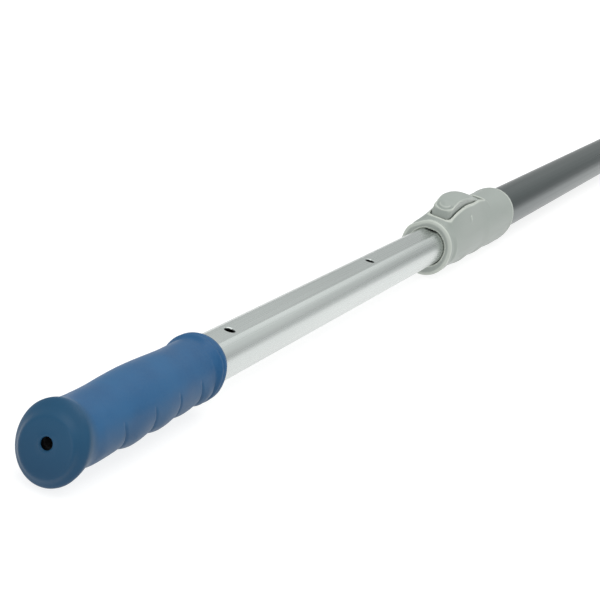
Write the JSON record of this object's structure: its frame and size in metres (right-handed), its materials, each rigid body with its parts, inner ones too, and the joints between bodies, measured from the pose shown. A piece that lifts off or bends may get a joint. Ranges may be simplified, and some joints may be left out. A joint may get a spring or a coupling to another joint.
{
  "type": "telescoping boat hook",
  "caption": "Telescoping aluminium boat hook with a moulded hand grip, a rocker lever lock on a collar, and a head with a blunt prong and swept-back hooks.",
  "frame": {"origin": "middle of the round hole in the grip's butt, on the pole's axis", "axes": "+X along the pole from the butt to the hook head; +Z the side with the lock lever and the inner tube's flat; +Y across, in the plane of the hook arms"},
  "size_m": [1.707, 0.118, 0.0532],
  "materials": {
    "blue_vinyl": "satin moulded vinyl",
    "bright_aluminium": "bright anodised",
    "satin_aluminium": "satin anodised",
    "grey_plastic": "satin moulded",
    "head_plastic": "satin moulded",
    "nylon": "natural nylon",
    "steel": "stainless",
    "foam": "closed-cell foam",
    "seal_rubber": "black rubber"
  },
  "bodies": {
    "outer_pole": {"outer_tube": "satin_aluminium", "reducer_bush": "nylon", "lock_collar": "grey_plastic", "collar_screws": "steel", "lever_pivot": "steel", "lever_spring": "steel", "hook_head": "head_plastic", "head_screws": "steel", "head_seal": "seal_rubber", "outer_float": "foam"},
    "inner_pole": {"inner_tube": "bright_aluminium", "grip": "blue_vinyl", "butt_plug": "seal_rubber", "guide_plug": "nylon", "guide_ring": "nylon", "guide_rivets": "steel", "inner_float": "foam"},
    "lever": {"lock_lever": "grey_plastic", "lock_pin": "steel"}
  },
  "joints": [
    {"name": "pole_slide", "type": "slide", "parent": "outer_pole", "child": "inner_pole", "axis": [-1, 0, 0], "range_m": [-0.325, 0.374]},
    {"name": "lever_press", "type": "hinge", "parent": "outer_pole", "child": "lever", "pos_m": [0.497, 0, 0.018], "axis": [0, -1, 0], "range_deg": [0, 5.5], "stiffness_Nm_per_rad": 1.5, "springref_deg": -11.46, "deforming": ["lever_spring"]}
  ]
}
